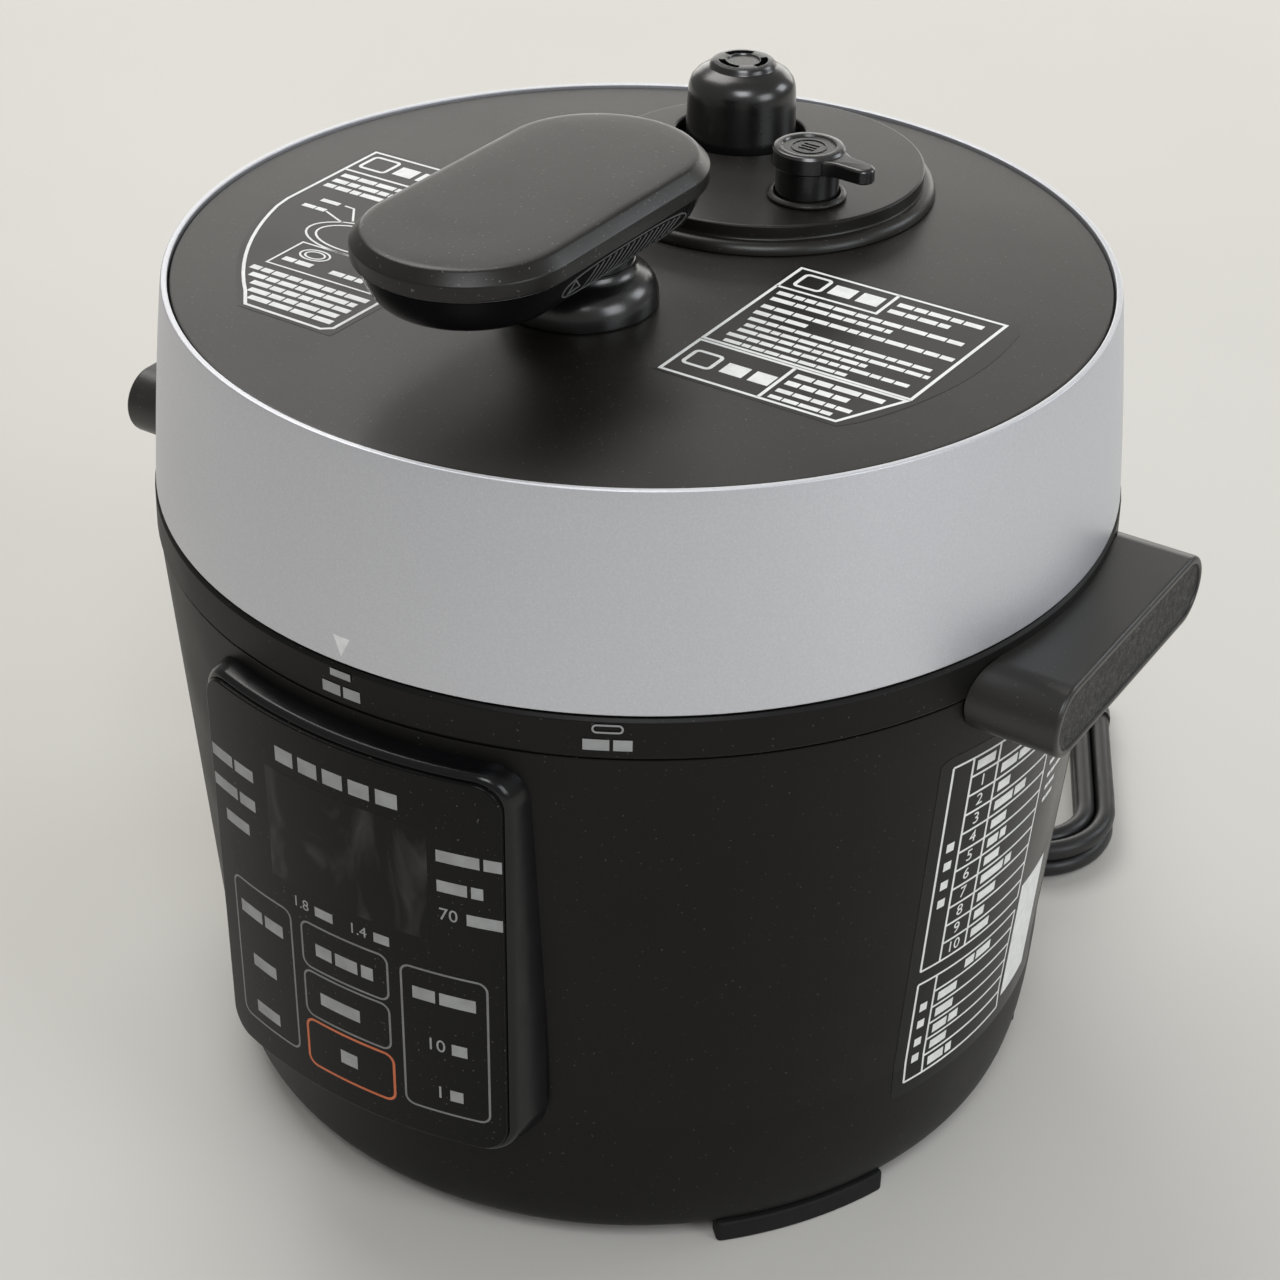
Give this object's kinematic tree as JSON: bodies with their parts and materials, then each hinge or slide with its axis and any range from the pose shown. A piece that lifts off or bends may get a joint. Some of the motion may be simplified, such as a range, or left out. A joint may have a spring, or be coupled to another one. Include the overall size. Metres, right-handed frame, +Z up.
{
  "type": "electric pressure cooker",
  "caption": "Drum-shaped electric pressure cooker with a control panel, side handles, an inner pot and a twist-off lid with steam weight, release button and float pin.",
  "frame": {"origin": "on the floor, under the drum's axis", "axes": "+Z up; -Y towards the control panel; +X towards the right-hand carrying handle"},
  "size_m": [0.293, 0.3557, 0.2751],
  "materials": {
    "body_black": "fine satin texture",
    "cover_black": "fine matte texture",
    "gloss_black": "semi-gloss",
    "panel_film": null,
    "display": "dark display window",
    "silver_band": "satin silver coating",
    "steel": "pressed and brushed",
    "cast_aluminium": "machined casting",
    "pot_coating": "non-stick coating",
    "silicone": "translucent grey silicone",
    "rubber": "matte flexible vinyl",
    "blade_brass": "plated",
    "circuit_board": "solder mask",
    "component_plastic": "moulded"
  },
  "bodies": {
    "base": {"base_plate": "body_black", "base_screw_1": "steel", "base_screw_2": "steel", "base_screw_3": "steel", "base_screw_4": "steel", "control_board": "circuit_board", "cord_hank": "rubber", "cord_outlet": "body_black", "cord_tail": "rubber", "display_module": "display", "foot_1": "rubber", "foot_2": "rubber", "foot_3": "rubber", "foot_4": "rubber", "heating_element": "steel", "heating_plate": "cast_aluminium", "inner_housing": "steel", "left_handle": "body_black", "locking_ring": "steel", "outer_shell": "body_black", "panel_film": "panel_film", "panel_housing": "body_black", "plate_post_1": "steel", "plate_post_2": "steel", "plate_post_3": "steel", "plug_blade_1": "blade_brass", "plug_blade_2": "blade_brass", "plug_body": "rubber", "power_board": "circuit_board", "power_cord": "rubber", "relay": "component_plastic", "right_handle": "body_black", "sensor_bracket": "steel", "sensor_spring": "steel", "strain_relief": "rubber", "transformer": "component_plastic", "upper_collar": "body_black"},
    "seal": {"seal_ring": "silicone"},
    "lid": {"lid_band": "silver_band", "lid_cover": "cover_black", "vent_deck": "cover_black", "button_collar": "cover_black", "handle_top": "cover_black", "handle_shell": "gloss_black", "handle_neck": "gloss_black", "handle_bolt": "steel", "pressure_lid": "steel", "lid_spacer": "component_plastic", "vent_pipe": "steel", "vent_guard": "steel", "button_valve": "silicone", "float_bush": "silicone", "button_spring": "steel"},
    "weight": {"weight_cap": "gloss_black", "weight_core": "steel"},
    "button": {"release_button": "gloss_black"},
    "float": {"float_pin": "steel"},
    "pot": {"inner_pot": "pot_coating"},
    "sensor": {"temperature_sensor": "cast_aluminium"}
  },
  "joints": [
    {"name": "lid_lift", "type": "slide", "parent": "base", "child": "seal", "axis": [0, 0, 1], "range_m": [0, 0.36]},
    {"name": "lid_turn", "type": "hinge", "parent": "seal", "child": "lid", "pos_m": [0, 0, 0.19], "axis": [0, 0, 1], "range_deg": [0, 30]},
    {"name": "pot_lift", "type": "slide", "parent": "base", "child": "pot", "axis": [0, 0, 1], "range_m": [0, 0.18]},
    {"name": "weight_lift", "type": "slide", "parent": "lid", "child": "weight", "axis": [0, 0, 1], "range_m": [0, 0.03]},
    {"name": "button_press", "type": "slide", "parent": "lid", "child": "button", "axis": [0, 0, -1], "range_m": [0, 0.005], "stiffness_N_per_m": 400, "springref_m": -0.002, "deforming": ["button_spring"]},
    {"name": "float_rise", "type": "slide", "parent": "lid", "child": "float", "axis": [0, 0, 1], "range_m": [0, 0.004]},
    {"name": "sensor_press", "type": "slide", "parent": "base", "child": "sensor", "axis": [0, 0, -1], "range_m": [0, 0.003], "stiffness_N_per_m": 500, "springref_m": -0.001, "deforming": ["sensor_spring"]}
  ],
  "couplings": [
    {"joint": "pot_lift", "follows": "lid_lift", "ratio": 0.5}
  ]
}
